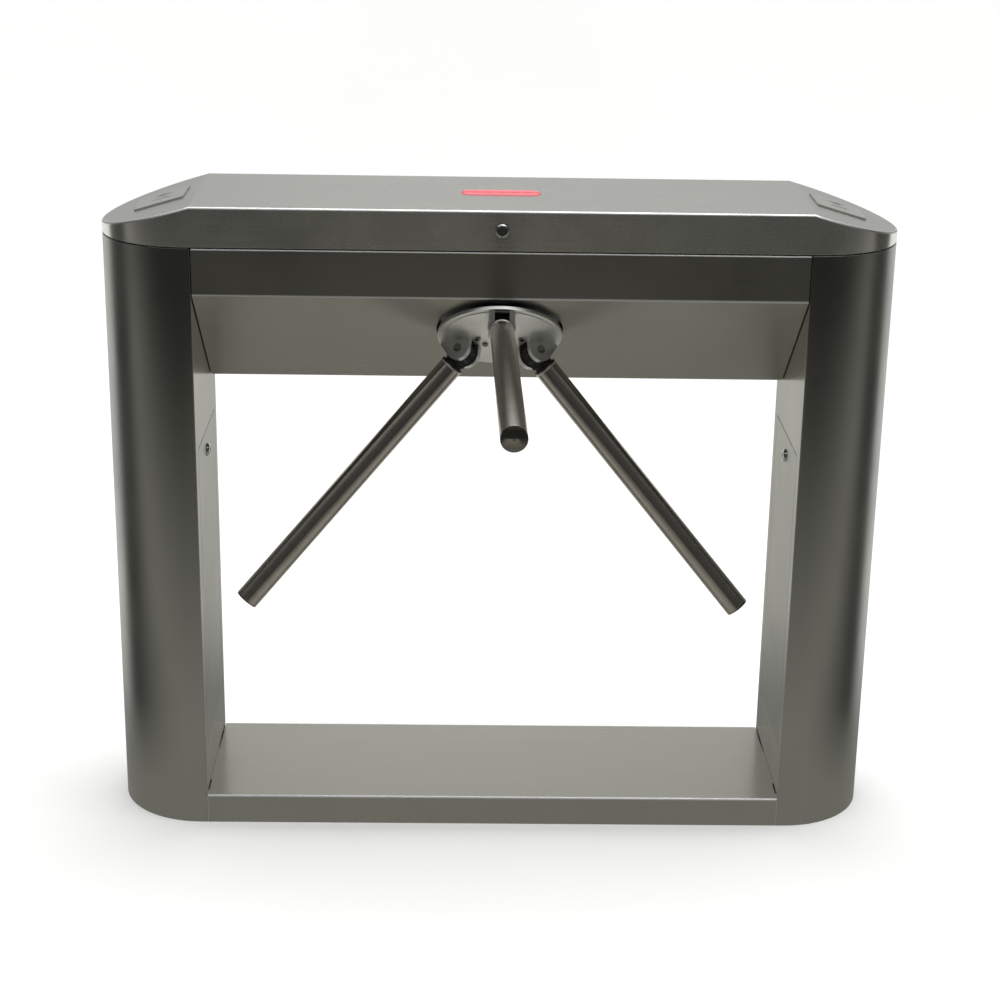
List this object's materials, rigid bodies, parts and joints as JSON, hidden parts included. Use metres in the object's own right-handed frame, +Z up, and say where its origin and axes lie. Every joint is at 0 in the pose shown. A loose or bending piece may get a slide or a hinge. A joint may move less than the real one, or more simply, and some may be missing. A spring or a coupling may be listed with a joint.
{
  "type": "visitor counter turnstile",
  "caption": "Waist-high bridge turnstile with a three-arm drop-arm rotor, sloped reader windows and a lockable lift-up lid.",
  "frame": {"origin": "centre of the cabinet's footprint on the floor", "axes": "+X along the cabinet, +Y to its back, away from the side the arms point to, +Z up"},
  "size_m": [1.2, 0.7742, 0.9915],
  "materials": {
    "column_steel": "vertical brushed stainless steel",
    "panel_steel": "horizontal brushed stainless steel",
    "door_steel": "vertical brushed stainless steel",
    "hub_steel": "satin machined stainless steel",
    "arm_steel": "lengthwise brushed stainless tube",
    "cap_steel": "polished stainless steel",
    "knuckle_black": "black painted steel",
    "lock_chrome": "chromed zinc",
    "window_acrylic": "smoked acrylic",
    "indicator_red": "lit red polycarbonate",
    "circuit_green": "circuit board",
    "seal_rubber": "black rubber",
    "zinc_steel": "zinc plated steel",
    "plate_steel": "grey painted steel plate",
    "bearing_steel": "ground bearing steel",
    "brass_zinc": "yellow passivated steel",
    "coil_black": "black moulded plastic"
  },
  "bodies": {
    "cabinet": {"left_column": "column_steel", "right_column": "column_steel", "left_foot": "zinc_steel", "right_foot": "zinc_steel", "base_plinth": "panel_steel", "plinth_ribs": "zinc_steel", "beam_cowl": "panel_steel", "rear_cover": "panel_steel", "chassis_rails": "zinc_steel", "lid_seal": "seal_rubber", "cable_grommet": "seal_rubber", "bearing_plate": "plate_steel", "rear_plate": "plate_steel", "plate_pillars": "plate_steel", "shaft_bearings": "bearing_steel", "lever_pins": "bearing_steel", "solenoids": "coil_black", "shock_damper": "coil_black", "centring_spring": "bearing_steel", "sensor_board": "circuit_green", "control_board": "circuit_green", "power_supply": "zinc_steel", "lid_catch": "zinc_steel", "lid_hinge_brackets": "zinc_steel", "lid_hinge_pins": "zinc_steel"},
    "lid_panel": {"lid": "panel_steel", "lid_hinge_knuckles": "zinc_steel", "left_window": "window_acrylic", "right_window": "window_acrylic", "reader_boards": "circuit_green", "indicator_lens": "indicator_red", "indicator_board": "circuit_green", "lid_lock_body": "lock_chrome"},
    "lid_lock": {"lid_lock_plug": "lock_chrome"},
    "left_door_panel": {"left_door": "door_steel", "left_door_lock_body": "lock_chrome"},
    "left_door_lock": {"left_door_lock_plug": "lock_chrome"},
    "right_door_panel": {"right_door": "door_steel", "right_door_lock_body": "lock_chrome"},
    "right_door_lock": {"right_door_lock_plug": "lock_chrome"},
    "rotor": {"hub_plate": "hub_steel", "hub_screws": "cap_steel", "main_shaft": "bearing_steel", "index_wheel": "brass_zinc", "encoder_disc": "coil_black", "arm_pins": "cap_steel"},
    "arm_1": {"arm_1_knuckle": "knuckle_black", "arm_1_tube": "arm_steel", "arm_1_cap": "cap_steel"},
    "arm_2": {"arm_2_knuckle": "knuckle_black", "arm_2_tube": "arm_steel", "arm_2_cap": "cap_steel"},
    "arm_3": {"arm_3_knuckle": "knuckle_black", "arm_3_tube": "arm_steel", "arm_3_cap": "cap_steel"},
    "left_pawl": {"left_pawl": "brass_zinc"},
    "right_pawl": {"right_pawl": "brass_zinc"},
    "left_plunger": {"left_plunger": "bearing_steel"},
    "right_plunger": {"right_plunger": "bearing_steel"},
    "centring_lever": {"centring_lever": "brass_zinc"}
  },
  "joints": [
    {"name": "lid_hinge", "type": "hinge", "parent": "cabinet", "child": "lid_panel", "pos_m": [0, 0.141, 0.93], "axis": [-1, 0, 0], "range_deg": [0, 70]},
    {"name": "lid_lock_turn", "type": "hinge", "parent": "lid_panel", "child": "lid_lock", "pos_m": [0, -0.135, 0.96109], "axis": [0, -1, 0], "range_deg": [0, 90]},
    {"name": "left_door_tilt", "type": "hinge", "parent": "cabinet", "child": "left_door_panel", "pos_m": [-0.4545, 0, 0.1205], "axis": [0, 1, 0], "range_deg": [0, 12]},
    {"name": "left_door_lock_turn", "type": "hinge", "parent": "left_door_panel", "child": "left_door_lock", "pos_m": [-0.454, 0, 0.58], "axis": [-1, 0, 0], "range_deg": [0, 90]},
    {"name": "right_door_tilt", "type": "hinge", "parent": "cabinet", "child": "right_door_panel", "pos_m": [0.4545, 0, 0.1205], "axis": [0, -1, 0], "range_deg": [0, 12]},
    {"name": "right_door_lock_turn", "type": "hinge", "parent": "right_door_panel", "child": "right_door_lock", "pos_m": [0.454, 0, 0.58], "axis": [1, 0, 0], "range_deg": [0, 90]},
    {"name": "rotor_turn", "type": "hinge", "parent": "cabinet", "child": "rotor", "pos_m": [0, -0.05719, 0.79305], "axis": [0, -0.6466, -0.7628], "continuous": true},
    {"name": "arm_1_drop", "type": "hinge", "parent": "rotor", "child": "arm_1", "pos_m": [0.00141, -0.11999, 0.81482], "axis": [0.9997, 0.0173, -0.0147], "range_deg": [0, 88]},
    {"name": "arm_2_drop", "type": "hinge", "parent": "rotor", "child": "arm_2", "pos_m": [0.05298, -0.04814, 0.75391], "axis": [-0.5195, 0.6518, -0.5525], "range_deg": [0, 45]},
    {"name": "arm_3_drop", "type": "hinge", "parent": "rotor", "child": "arm_3", "pos_m": [-0.05438, -0.05, 0.75549], "axis": [-0.4802, -0.6691, 0.5672], "range_deg": [0, 45]},
    {"name": "left_pawl_swing", "type": "hinge", "parent": "cabinet", "child": "left_pawl", "pos_m": [-0.078, 0.02197, 0.79674], "axis": [0, 0.6466, 0.7628], "range_deg": [0, 8]},
    {"name": "left_plunger_push", "type": "slide", "parent": "cabinet", "child": "left_plunger", "axis": [1, 0, 0], "range_m": [0, 0.0135]},
    {"name": "right_pawl_swing", "type": "hinge", "parent": "cabinet", "child": "right_pawl", "pos_m": [0.078, 0.02197, 0.79674], "axis": [0, -0.6466, -0.7628], "range_deg": [0, 8]},
    {"name": "right_plunger_push", "type": "slide", "parent": "cabinet", "child": "right_plunger", "axis": [-1, 0, 0], "range_m": [0, 0.0135]},
    {"name": "centring_lever_swing", "type": "hinge", "parent": "cabinet", "child": "centring_lever", "pos_m": [0.052, 0.03809, 0.79487], "axis": [0, -0.6466, -0.7628], "range_deg": [0, 4], "deforming": ["centring_spring"]}
  ],
  "couplings": [
    {"joint": "left_plunger_push", "follows": "left_pawl_swing", "m_per_rad": 0.094},
    {"joint": "right_plunger_push", "follows": "right_pawl_swing", "m_per_rad": 0.094}
  ]
}
